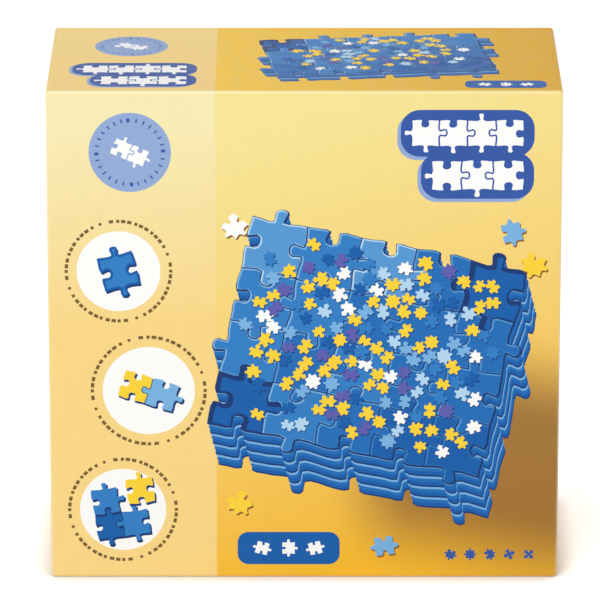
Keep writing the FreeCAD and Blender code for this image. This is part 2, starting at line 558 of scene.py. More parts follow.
def front_print():
    """The print of the front, about the middle of the panel."""
    sheet = Sheet()
    badge(sheet, x=-77, y=86, radius=18.2)
    round_picture(sheet, x=-82.5, y=31, radius=18.6, sign=one_piece)
    round_picture(sheet, x=-69.5, y=-25, radius=20.6, sign=two_pieces)
    round_picture(sheet, x=-81.5, y=-81.5, radius=19.4, sign=four_pieces)
    plaque(sheet, x=72, y=85)
    mosaic(
        sheet, (27.5, -4.5, -12), columns=5, rows=4, pitch=24.8, seed=11, layers=4,
        gaps=((4, 3), (0, 0)), small=150, size=5.4,
    )
    loose_size, loose_lift = 8.5, 0.8
    for x, y, turn, seed, ink in (
        (-29, -78, 30, 3, "sun"), (92, 49, 12, 6, "sky"), (102, 34, 70, 2, "sun"),
        (-31, 52, 52, 8, "white"), (36, -99, 8, 5, "sky"),
    ):
        sheet.loose(x, y, loose_size, turn, seed, ink, "shade_ink", loose_lift)
    label(sheet, x=-7, y=-100, width=46, height=15.5)
    row_x, row_y, row_pitch, row_turn, tiny_size = 66, -103, 8.8, 20, 3.9
    for k in range(5):
        piece, turn = single_piece(tiny_size, seed=20 + k), row_turn * (k % 3 - 1)
        sheet.add(piece, "ink_blue", row_x + row_pitch * k, row_y, turn)
    return sheet


def top_print():
    """The print of the top wall, with y running back from the fold."""
    sheet = Sheet()
    badge(sheet, x=-78, y=74, radius=16.5)
    plaque(sheet, x=-75.5, y=27, scale=0.94)
    mosaic(
        sheet, (32, 61, 7), columns=5, rows=3, pitch=19.6, seed=17, layers=2,
        gaps=((0, 2),), small=80, size=4.6,
    )
    label(sheet, x=89, y=11.5, width=36, height=12)
    return sheet


def side_print():
    """The print of a side wall, with x across it and y up it from its middle."""
    sheet = Sheet()
    badge(sheet, x=0, y=82, radius=17)
    mosaic(
        sheet, (-2.5, 4, -8), columns=3, rows=4, pitch=22, seed=23, layers=3,
        gaps=((2, 0),), small=75, size=4.8,
    )
    label(sheet, x=0, y=-89, width=40, height=13)
    return sheet


def on_side(sheet, side, middle):
    """A sheet's shapes as a side wall takes them: x up the wall, and y back from the panel."""
    laid = Sheet()
    across = 1 if side == "right" else -1
    for points, ink in sheet.shapes:
        laid.add([(y, middle + across * x) for x, y in points], ink)
    return laid.shapes


def back_print():
    """The jigsaw lines, tone on tone, over the large panel of the base."""
    sheet = Sheet()
    line = 0.45
    for piece in Jigsaw(8, 8, 26.6, seed=41, flat=True, steps=(8, 14, 8)).outlines():
        sheet.add(drawn_in(piece, line), "back_field")
    return sheet


# Meshes


def quarter_turn(count):
    """The angles of a quarter turn in that many equal steps, with both ends."""
    return [math.pi / 2 * k / count for k in range(count + 1)]


def at_place(given, k):
    """What is given for the place k of a ring, as one value for all places or as a function."""
    return given(k) if callable(given) else given


class Draft:
    """A mesh in the making, with a finish for each face."""

    def __init__(self):
        self.points, self.faces, self.finishes, self.smooth = [], [], [], []

    def ring(self, points):
        """Adds points, and gives their numbers."""
        first = len(self.points)
        self.points += [tuple(p) for p in points]
        return list(range(first, len(self.points)))

    def face(self, corners, finish, smooth=False):
        """Adds a face over the points with those numbers."""
        self.faces.append(corners)
        self.finishes.append(finish)
        self.smooth.append(smooth)

    def strip(self, low, high, finish, smooth=False, skip=()):
        """Quads between two rings. finish and smooth may be functions of the place round the ring."""
        for k in range(len(low)):
            if k not in skip:
                n = (k + 1) % len(low)
                corners = [low[k], low[n], high[n], high[k]]
                self.face(corners, at_place(finish, k), at_place(smooth, k))

    def patch(self, outline, shapes, ground, to_space):
        """A flat face split by the shapes printed on it. A shape whose ink is None is a hole."""
        outline = outline if area(outline) > 0 else outline[::-1]
        spots, faces = [], []
        for points in [outline] + [points for points, _ in shapes]:
            faces.append(list(range(len(spots), len(spots) + len(points))))
            spots += [Vector(p) for p in points]
        only_inside = 1
        made, _, cells, _, _, origins = delaunay_2d_cdt(spots, [], faces, only_inside, SNAP, True)
        ring = self.ring([to_space(p.x, p.y) for p in made])
        for corners, sources in zip(cells, origins):
            if 0 in sources:
                top = max(sources)
                ink = shapes[top - 1][1] if top else ground
                if ink is not None:
                    self.face([ring[c] for c in corners], ink)

    def to_object(self, name, matrix=Matrix.Identity(4)):
        """The object in metres, with its doubled and loose points cleared away."""
        mesh = bpy.data.meshes.new(name)
        to_metres = Matrix.Scale(MM, 4) @ matrix
        mesh.from_pydata([to_metres @ Vector(p) for p in self.points], [], self.faces)
        names = sorted(set(self.finishes))
        for finish in names:
            mesh.materials.append(material(finish))
        mesh.polygons.foreach_set("material_index", [names.index(f) for f in self.finishes])
        mesh.polygons.foreach_set("use_smooth", self.smooth)
        shape = bmesh.new()
        shape.from_mesh(mesh)
        loose = [point for point in shape.verts if not point.link_faces]
        bmesh.ops.delete(shape, geom=loose, context="VERTS")
        bmesh.ops.remove_doubles(shape, verts=shape.verts, dist=WELD)
        bmesh.ops.dissolve_degenerate(shape, dist=WELD / 4, edges=shape.edges)
        bmesh.ops.recalc_face_normals(shape, faces=shape.faces)
        shape.to_mesh(mesh)
        shape.free()
        made = bpy.data.objects.new(name, mesh)
        bpy.context.scene.collection.objects.link(made)
        return made


def rounded_square(half, radius, y, mark, arc=5):
    """A square with round corners in the plane y, with a point at x = mark on two of its sides."""
    flat = half - radius
    points = []
    for quarter, (sx, sz) in enumerate(((1, -1), (1, 1), (-1, 1), (-1, -1))):
        if quarter % 2 == 0:
            points.append((mark, y, sz * half))
        for k in range(arc + 1):
            angle = math.pi / 2 * (quarter - 1 + k / arc)
            x, z = sx * flat + radius * math.cos(angle), sz * flat + radius * math.sin(angle)
            points.append((x, y, z))
    return points


def wall_of(points, k):
    """The wall that a ring runs along after its point k, or corner where the run is a short one."""
    shortest_wall = 3
    here, there = points[k], points[(k + 1) % len(points)]
    across, up = there[0] - here[0], there[2] - here[2]
    if math.hypot(across, up) < shortest_wall:
        return "corner"
    if abs(across) > abs(up):
        return "top" if across < 0 else "bottom"
    return "right" if up > 0 else "left"


class BoxHalf(Draft):
    """One half of the box: a square panel at y 0 with four walls towards +Y.

    The inks are the grounds of its paper, one set for the panel with its fold and one for the
    walls: left of the line where the pale column ends, right of it, and on the right wall.
    """

    def __init__(self, node, sizes, panel_inks, wall_inks):
        super().__init__()
        low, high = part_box(node)
        self.half, self.depth = (high.x - low.x) / MM / 2, (high.y - low.y) / MM
        self.sizes, self.line = sizes, sizes.column - self.half
        self.panel_inks, self.wall_inks = panel_inks, wall_inks

    def corners(self, inset, y):
        """The half's outline in the plane y, drawn in by inset from the outside of its walls."""
        radius = max(self.sizes.corner_radius - inset, self.sizes.inner_radius)
        return rounded_square(self.half - inset, radius, y, self.line)

    def ground(self, points, inks):
        """Gives the ground's ink for each place round a ring."""
        def ink(k):
            middle = (points[k][0] + points[(k + 1) % len(points)][0]) / 2
            return inks[(middle > self.line) + (wall_of(points, k) == "right")]
        return ink

    def reach(self, inset, y, inks, smooth=True):
        """Joins a new ring to the last one, and keeps it as the last one."""
        points = self.corners(inset, y)
        here = self.ring(points)
        self.strip(self.last, here, self.ground(points, inks), smooth)
        self.last = here

    def column_shape(self, low, high, inks):
        """The pale column over the whole height of a panel or a wall."""
        return rectangle(-self.half, low, self.line, high), inks[0]

    def panel(self, shapes):
        """The large panel, split by its print."""
        points = self.corners(self.sizes.fold_radius, 0)
        column = self.column_shape(-self.half, self.half, self.panel_inks)
        outline = [(x, z) for x, _, z in points]
        self.patch(outline, [column] + shapes, self.panel_inks[1], lambda x, z: (x, 0, z))
        self.last = self.ring(points)

    def fold(self, steps=5):
        """The round fold from the panel to the walls."""
        radius = self.sizes.fold_radius
        for angle in quarter_turn(steps)[1:]:
            inset, y = radius * (1 - math.sin(angle)), radius * (1 - math.cos(angle))
            self.reach(inset, y, self.panel_inks)

    def walls(self, prints):
        """The four walls. Those that are named in prints are split by their shapes."""
        points = self.corners(0, self.depth - self.sizes.rim_radius)
        here = self.ring(points)
        sides = [wall_of(points, k) for k in range(len(points))]
        for side, shapes in prints.items():
            places = [k for k, found in enumerate(sides) if found == side]
            run = [points[k] for k in places] + [points[(places[-1] + 1) % len(points)]]
            self.printed_wall(side, run, shapes)
        split = [k for k, found in enumerate(sides) if found in prints]
        ground = self.ground(points, self.wall_inks)
        self.strip(self.last, here, ground, lambda k: sides[k] == "corner", split)
        self.last = here

    def printed_wall(self, side, run, shapes):
        """One wall, split by its shapes, along the run of points at its rim."""
        first_y, last_y = self.sizes.fold_radius, self.depth - self.sizes.rim_radius
        level = side in ("bottom", "top")
        spots = [point[0] if level else point[2] for point in run]
        outline = [(u, first_y) for u in spots] + [(u, last_y) for u in reversed(spots)]
        x, _, z = run[0]
        if level:
            column = self.column_shape(0, self.depth, self.wall_inks)
            self.patch(outline, [column] + shapes, self.wall_inks[1], lambda u, v: (u, v, z))
        else:
            ground = self.wall_inks[0 if side == "left" else 2]
            self.patch(outline, shapes, ground, lambda u, v: (x, v, u))

    def rim(self, steps=3):
        """The paper's turn over the rim of the walls."""
        board, radius = self.sizes.board, self.sizes.rim_radius
        for angle in quarter_turn(steps)[1:]:
            inset, drop = radius * (1 - math.cos(angle)), radius * (1 - math.sin(angle))
            self.reach(inset, self.depth - drop, self.wall_inks)
        for angle in quarter_turn(steps):
            inset, drop = board - radius * (1 - math.sin(angle)), radius * (1 - math.cos(angle))
            self.reach(inset, self.depth - drop, self.wall_inks, angle > 0)

    def inside(self):
        """The strip of paper inside the rim, the small step at its end, and the bare board."""
        board, paper = self.sizes.board, self.sizes.paper
        end = self.depth - self.sizes.turn_in
        bare = ("liner",) * 3
        self.reach(board, end, self.wall_inks, False)
        self.reach(board + paper, end - paper, self.wall_inks, False)
        self.reach(board + paper, board, bare, False)
        self.face(self.last, "liner")

    def build(self, name, panel, walls, matrix):
        """The object of the half, from its panel's print, its walls' prints and its place."""
        self.panel(panel)
        self.fold()
        self.walls(walls)
        self.rim()
        self.inside()
        return self.to_object(name, matrix)


# Materials


class Nodes:
    """A node tree with short calls to add and join nodes."""

    def __init__(self, tree):
        self.tree = tree

    def add(self, kind, inputs=None, **settings):
        """A new node, with its settings made and its inputs fed."""
        node = self.tree.nodes.new(kind if kind.startswith("Node") else "ShaderNode" + kind)
        for name, value in settings.items():
            setattr(node, name, value)
        for name, value in (inputs or {}).items():
            self.feed(node.inputs[name], value)
        return node

    def feed(self, socket, value):
        """Gives an input another node's output, or a plain value."""
        if isinstance(value, bpy.types.NodeSocket):
            self.tree.links.new(value, socket)
        else:
            socket.default_value = value

    def maths(self, operation, *values, clamp=False):
        """The result of a Math node."""
        node = self.add("Math", operation=operation, use_clamp=clamp)
        for k, value in enumerate(values):
            self.feed(node.inputs[k], value)
        return node.outputs[0]

    def ramp(self, value, start, end, low=0.0, high=1.0, soft=True):
        """Runs from low to high as the value runs from start to end, and stays there beyond them."""
        node = self.add("MapRange", interpolation_type="SMOOTHSTEP" if soft else "LINEAR")
        for k, given in enumerate((value, start, end, low, high)):
            self.feed(node.inputs[k], given)
        return node.outputs[0]

    def mix(self, factor, one, two, mode="MIX"):
        """Two colours mixed. Their sockets come after those for floats and vectors."""
        node = self.add("Mix", data_type="RGBA", blend_type=mode)
        for k, given in ((0, factor), (6, one), (7, two)):
            self.feed(node.inputs[k], given)
        return node.outputs[2]

    def noise(self, vector, scale, detail=2.0, roughness=0.5):
        """A noise texture's value."""
        inputs = {"Vector": vector, "Scale": scale, "Detail": detail, "Roughness": roughness}
        return self.add("TexNoise", inputs).outputs["Fac"]

    def place(self):
        """The place on the object, in metres."""
        return self.add("TexCoord").outputs["Object"]


def new_group(name, inputs, outputs):
    """A node group with float inputs, given with their defaults, and float outputs."""
    group = bpy.data.node_groups.new(name, "ShaderNodeTree")
    kind = "NodeSocketFloat"
    for socket, default in inputs.items():
        made = group.interface.new_socket(socket, in_out="INPUT", socket_type=kind)
        made.default_value = default
    for socket in outputs:
        group.interface.new_socket(socket, in_out="OUTPUT", socket_type=kind)
    nodes = Nodes(group)
    given = nodes.add("NodeGroupInput").outputs
    result = nodes.add("NodeGroupOutput").inputs
    return group, nodes, given, result


# Most of a noise texture's values lie between these two.
NOISE_LOW, NOISE_HIGH = 0.3, 0.7


def paper_grain():
    """Fibres and soft mottling of coated paper on board. Smooth and Rough are roughnesses."""
    inputs = {
        "Fibre Scale": 2600.0, "Mottle Scale": 150.0, "Tone Depth": 0.03, "Smooth": 0.34, "Rough": 0.46,
    }
    group, nodes, given, result = new_group("Paper Grain", inputs, ("Tone", "Roughness", "Height"))
    fibre_share, lengthways = 0.45, (1.0, 1.0, 0.35)
    stretched = nodes.add("Mapping", {"Vector": nodes.place(), "Scale": lengthways}).outputs[0]
    fibre = nodes.noise(stretched, given["Fibre Scale"], detail=3.0, roughness=0.6)
    mottle = nodes.noise(nodes.place(), given["Mottle Scale"])
    fibres = nodes.maths("MULTIPLY", fibre, fibre_share)
    both = nodes.maths("ADD", fibres, nodes.maths("MULTIPLY", mottle, 1 - fibre_share))
    swing = nodes.maths("MULTIPLY", nodes.maths("SUBTRACT", both, 0.5), given["Tone Depth"])
    nodes.feed(result["Tone"], nodes.maths("ADD", 1.0, nodes.maths("MULTIPLY", swing, 2.0)))
    roughness = nodes.ramp(mottle, NOISE_LOW, NOISE_HIGH, given["Smooth"], given["Rough"])
    nodes.feed(result["Roughness"], roughness)
    nodes.feed(result["Height"], nodes.maths("ADD", nodes.maths("MULTIPLY", fibre, 0.5), mottle))
    return group


def fold_wear_and_highlight():
    """A mask along the folds and rims of a box half, where its covering paper is rubbed pale and where
    a painted highlight lies along the folds.

    The second smallest distance to a side of the half's box is small only near its edges.
    """
    inputs = {
        "Half Width": 0.114, "Front": -0.054, "Back": 0.054, "Middle": 0.114,
        "Reach": 0.0012, "Breakup": 0.5,
    }
    group, nodes, given, result = new_group("Fold Wear And Highlight", inputs, ("Mask",))
    patch_scale, least_reach, full_share = 420.0, 0.6, 0.15
    spot = nodes.add("SeparateXYZ", {"Vector": nodes.place()}).outputs
    height = nodes.maths("ABSOLUTE", nodes.maths("SUBTRACT", spot["Z"], given["Middle"]))
    across = nodes.maths("SUBTRACT", given["Half Width"], nodes.maths("ABSOLUTE", spot["X"]))
    above = nodes.maths("SUBTRACT", given["Half Width"], height)
    from_front = nodes.maths("SUBTRACT", spot["Y"], given["Front"])
    from_back = nodes.maths("SUBTRACT", given["Back"], spot["Y"])
    along = nodes.maths("MINIMUM", from_front, from_back)
    lesser = nodes.maths("MINIMUM", across, above)
    greater = nodes.maths("MAXIMUM", across, above)
    second = nodes.maths("MAXIMUM", lesser, nodes.maths("MINIMUM", greater, along))
    patches = nodes.noise(nodes.place(), patch_scale, detail=3.0)
    rubbed_and_highlight = nodes.maths("MULTIPLY", patches, given["Breakup"])
    reach = nodes.maths("MULTIPLY", given["Reach"], nodes.maths("ADD", least_reach, rubbed_and_highlight))
    nodes.feed(result["Mask"], nodes.ramp(second, reach, nodes.maths("MULTIPLY", reach, full_share)))
    return group


def mould_grain():
    """The fine spark-eroded texture and handling marks of a moulded plastic."""
    inputs = {"Grain Scale": 2200.0, "Smooth": 0.22, "Rough": 0.34, "Scuffs": 0.3, "Tone Depth": 0.05}
    group, nodes, given, result = new_group("Mould Grain", inputs, ("Tone", "Roughness", "Height"))
    flow_scale, scuff_scale, scuff_low, scuff_high = 22.0, 120.0, 0.62, 0.74
    scuff_roughness, scuff_tone = 0.4, 0.1
    grain = nodes.noise(nodes.place(), given["Grain Scale"])
    flow = nodes.noise(nodes.place(), flow_scale)
    lines = {"Vector": nodes.place(), "Rotation": (0.3, 0.2, 0.6), "Scale": (1.0, 14.0, 1.0)}
    drawn = nodes.add("Mapping", lines).outputs[0]
    marks = nodes.noise(drawn, scuff_scale, detail=4.0, roughness=0.7)
    scuff = nodes.ramp(marks, scuff_low, scuff_high)
    worn = nodes.maths("MULTIPLY", scuff, given["Scuffs"])
    base = nodes.ramp(flow, NOISE_LOW, NOISE_HIGH, given["Smooth"], given["Rough"])
    rougher = nodes.maths("MULTIPLY", worn, scuff_roughness)
    nodes.feed(result["Roughness"], nodes.maths("ADD", base, rougher, clamp=True))
    swing = nodes.maths("MULTIPLY", nodes.maths("SUBTRACT", flow, 0.5), given["Tone Depth"])
    lighter = nodes.maths("ADD", swing, nodes.maths("MULTIPLY", worn, scuff_tone))
    nodes.feed(result["Tone"], nodes.maths("ADD", 1.0, lighter))
    nodes.feed(result["Height"], nodes.maths("ADD", grain, nodes.maths("MULTIPLY", flow, 0.5)))
    return group


EFFECTS = {"Paper Grain": paper_grain, "Fold Wear And Highlight": fold_wear_and_highlight, "Mould Grain": mould_grain}


def effect(nodes, kind, **values):
    """Places a shared node group in a material, with that material's own values."""
    node = nodes.add("Group")
    node.node_tree = bpy.data.node_groups.get(kind) or EFFECTS[kind]()
    for name, value in values.items():
        nodes.feed(node.inputs[name.replace("_", " ")], value)
    return node.outputs


def new_material(name):
    """A material, its nodes and its shader."""
    made = bpy.data.materials.new(name)
    made.use_nodes = True
    return made, Nodes(made.node_tree), made.node_tree.nodes["Principled BSDF"]


def toned(nodes, tone, base):
    """A colour made lighter or darker by a tone about 1."""
    shade = nodes.add("CombineColor")
    for k in range(3):
        nodes.feed(shade.inputs[k], tone)
    return nodes.mix(1.0, base, shade.outputs[0], "MULTIPLY")


def bumped(nodes, shader, height, strength, distance):
    """Feeds a height to the shader's normal, with the distance in metres."""
    bump = nodes.add("Bump", {"Height": height, "Strength": strength, "Distance": distance})
    nodes.feed(shader.inputs["Normal"], bump.outputs[0])


def printed(ink):
    """The colour that a shader takes for an ink."""
    return (*getattr(bpy.context.scene.tray_box_colours, ink), 1.0)


def paper_finish(nodes, shader, grain):
    """The satin of laminated paper: its sheen and the fibres that show through it."""
    shader.inputs["Specular IOR Level"].default_value = 0.2
    nodes.feed(shader.inputs["Roughness"], grain["Roughness"])
    bumped(nodes, shader, grain["Height"], strength=0.22, distance=0.00006)


def ink_material(name, ink):
    """A printed ink, in one colour."""
    made, nodes, shader = new_material(name)
    shader.inputs["Base Color"].default_value = printed(ink)
    paper_finish(nodes, shader, effect(nodes, "Paper Grain"))
    return made


def picture_shade(nodes):
    """The soft shade printed beside the large picture: strongest in a tilted oblong, then fading."""
    centre, turn = (0.086, 0.0, 0.056), (0.0, math.radians(12), 0.0)
    half_width, half_height, soft_edge, strength = 0.030, 0.020, 0.048, 0.85
    inputs = {"Vector": nodes.place(), "Location": centre, "Rotation": turn}
    turned = nodes.add("Mapping", inputs, vector_type="TEXTURE").outputs[0]
    spot = nodes.add("SeparateXYZ", {"Vector": turned}).outputs
    squares = []
    for axis, half in (("X", half_width), ("Z", half_height)):
        past = nodes.maths("SUBTRACT", nodes.maths("ABSOLUTE", spot[axis]), half)
        squares.append(nodes.maths("POWER", nodes.maths("MAXIMUM", past, 0.0), 2.0))
    away = nodes.maths("SQRT", nodes.maths("ADD", *squares))
    return nodes.ramp(away, soft_edge, 0.0, 0.0, strength)


# The node that a printed field lies on, its two inks, the axis and the two places in metres that
# it runs between, its lean across the width, and whether the picture's shade lies on it.
Field = namedtuple("Field", "node near far axis start end lean picture", defaults=(0.0, False))

FIELDS = {
    "front_column": Field("box_lid", "column_upper", "column_lower", "Z", 0.22, 0.12, 0.7),
    "front_field": Field("box_lid", "field_upper", "field_lower", "Z", 0.222, 0.004, 1.3, True),
    "wall_column": Field("box_lid", "shelf_column", "column_lower", "Y", 0.054, -0.054),
    "wall_field": Field("box_lid", "shelf_field", "shelf_far", "X", -0.04, 0.114),
    "side_field": Field("box_lid", "shelf_field", "field_lower", "Z", 0.22, 0.0),
    "plain_wrap": Field("box_base", "shelf_field", "field_lower", "Y", 0.054, -0.054),
    "back_field": Field("box_base", "shelf_column", "back_lower", "Z", 0.218, 0.006, 0.7),
}


def field_material(name, field):
    """A wide printed field that runs from one ink to another, with rubbed folds that also carry a
    painted highlight.
    """
    made, nodes, shader = new_material(name)
    rubbed_and_highlight_share = 0.5
    grain = effect(nodes, "Paper Grain", Tone_Depth=0.05)
    spot = nodes.add("SeparateXYZ", {"Vector": nodes.place()}).outputs
    blend = nodes.ramp(spot[field.axis], field.start, field.end, soft=False)
    if field.lean:
        leaned = nodes.maths("MULTIPLY", spot["X"], field.lean)
        blend = nodes.maths("ADD", blend, leaned, clamp=True)
    base = nodes.mix(blend, printed(field.near), printed(field.far))
    if field.picture:
        base = nodes.mix(picture_shade(nodes), base, printed("shade"))
    low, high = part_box(field.node)
    middle = (low.z + high.z) / 2
    # The folds are lightened here: partly rubbed paper, partly a painted highlight.
    worn = effect(nodes, "Fold Wear And Highlight", Half_Width=high.x, Front=low.y, Back=high.y, Middle=middle)
    base = nodes.mix(nodes.maths("MULTIPLY", worn["Mask"], rubbed_and_highlight_share), base, printed("rubbed_and_highlight"))
    nodes.feed(shader.inputs["Base Color"], toned(nodes, grain["Tone"], base))
    paper_finish(nodes, shader, grain)
    return made


def liner_material(name):
    """Unprinted greyboard with pale and dark fibres."""
    made, nodes, shader = new_material(name)
    coarse = {
        "Fibre_Scale": 1500.0, "Mottle_Scale": 320.0, "Tone_Depth": 0.16, "Smooth": 0.8, "Rough": 0.95,
    }
    grain = effect(nodes, "Paper Grain", **coarse)
    nodes.feed(shader.inputs["Base Color"], toned(nodes, grain["Tone"], printed("liner")))
    nodes.feed(shader.inputs["Roughness"], grain["Roughness"])
    bumped(nodes, shader, grain["Height"], strength=0.4, distance=0.00012)
    return made


def plastic_material(name, floor):
    """The trays' blue plastic: glossy on the walls and finely textured on the floor."""
    made, nodes, shader = new_material(name)
    textured = {"Grain_Scale": 1300.0, "Smooth": 0.38, "Rough": 0.5, "Scuffs": 0.5}
    grain = effect(nodes, "Mould Grain", **(textured if floor else {}))
    nodes.feed(shader.inputs["Base Color"], toned(nodes, grain["Tone"], printed("tray")))
    nodes.feed(shader.inputs["Roughness"], grain["Roughness"])
    shader.inputs["Specular IOR Level"].default_value = 0.55
    shader.inputs["Coat Weight"].default_value = 0.0 if floor else 0.15
    bumped(nodes, shader, grain["Height"], strength=0.3 if floor else 0.12, distance=0.00008)
    return made


def material(name):
    """The material of that name, made when it is first asked for."""
    found = bpy.data.materials.get(name)
    if found:
        return found
    if name in FIELDS:
        return field_material(name, FIELDS[name])
    if name == "liner":
        return liner_material(name)
    if name in ("tray_wall", "tray_floor"):
        return plastic_material(name, name == "tray_floor")
    return ink_material(name, "shade" if name == "shade_ink" else name)


# Trays

# Steps round a quarter of an edge, of the rim and of the step round the floor.
EDGE_STEPS, RIM_STEPS, LEDGE_STEPS = 3, 4, 2


def tray_arcs(sizes, inset):
    """The round stretches of a tray's outline, drawn in by inset: centre, radius, and two angles."""
    half_span = sizes.span / 2
    half_length = half_span - sizes.reach
    lobe = sizes.reach - sizes.tab_radius
    reach = sizes.tab_radius + sizes.neck_radius
    neck_x = math.sqrt(reach ** 2 - (sizes.neck_radius - lobe) ** 2)
    lean = math.degrees(math.asin((sizes.neck_radius - lobe) / reach))
    corner_x, corner_y = half_span - sizes.corner, half_length - sizes.corner
    shoulder_x, notch_x = half_span - sizes.neck_radius, half_span - lobe
    neck_y, tab_y = half_length + sizes.neck_radius, half_length + lobe
    corner, shoulder = sizes.corner - inset, sizes.neck_radius - inset
    notch, tab, neck = sizes.tab_radius + inset, sizes.tab_radius - inset, sizes.neck_radius + inset
    return [
        ((corner_x, -corner_y), corner, -90, 0),
        ((shoulder_x, -neck_x), shoulder, 0, 90 - lean),
        ((notch_x, 0), notch, 270 - lean, 90 + lean),
        ((shoulder_x, neck_x), shoulder, lean - 90, 0),
        ((corner_x, corner_y), corner, 0, 90),
        ((neck_x, neck_y), neck, 270, 180 + lean),
        ((0, tab_y), tab, lean, 180 - lean),
        ((-neck_x, neck_y), neck, -lean, -90),
        ((-corner_x, corner_y), corner, 90, 180),
        ((-shoulder_x, neck_x), shoulder, 180, 270 - lean),
        ((-notch_x, 0), notch, 90 - lean, lean - 90),
        ((-shoulder_x, -neck_x), shoulder, 90 + lean, 180),
        ((-corner_x, -corner_y), corner, 180, 270),
    ]


def tray_outline(sizes, inset):
    """Points round a tray's outline, as many and in the same order at every inset.

    The first and the last arc are the corners of the open side. Their points lie closer together
    where the ends of the wall slope down to the floor.
    """
    slope_share, slope_steps, level_steps = 4 / 15, 16, 10
    least_steps, degrees_each = 6, 6
    by_mouth = [slope_share * k / slope_steps for k in range(slope_steps)]
    by_mouth += [slope_share + (1 - slope_share) * k / level_steps for k in range(level_steps + 1)]
    arcs = tray_arcs(sizes, inset)
    points = []
    for k, ((x, y), radius, start, end) in enumerate(arcs):
        count = max(least_steps, round(abs(end - start) / degrees_each))
        shares = [i / count for i in range(count + 1)]
        if k == 0:
            shares = by_mouth
        elif k == len(arcs) - 1:
            shares = [1 - share for share in reversed(by_mouth)]
        for share in shares:
            angle = math.radians(start + (end - start) * share)
            points.append((x + radius * math.cos(angle), y + radius * math.sin(angle)))
    return points


def step_profile(sizes):
    """The rounded step between the wall and the floor: how far in from the wall, and how high."""
    soft, width, height = sizes.soft, sizes.ledge_width, sizes.ledge
    turns = [(math.sin(angle), math.cos(angle)) for angle in quarter_turn(LEDGE_STEPS)]
    profile = [(soft * (1 - c), height + soft * (1 - s)) for s, c in turns]
    profile += [(width - soft * (1 - s), height - soft * (1 - c)) for s, c in turns]
    profile += [(width + soft * (1 - c), soft * (1 - s)) for s, c in turns]
    return profile


def softly_lower(one, two, blend):
    """The lower of two heights, rounded where they cross."""
    near = max(blend - abs(one - two), 0) / blend
    return min(one, two) - near * near * blend / 4


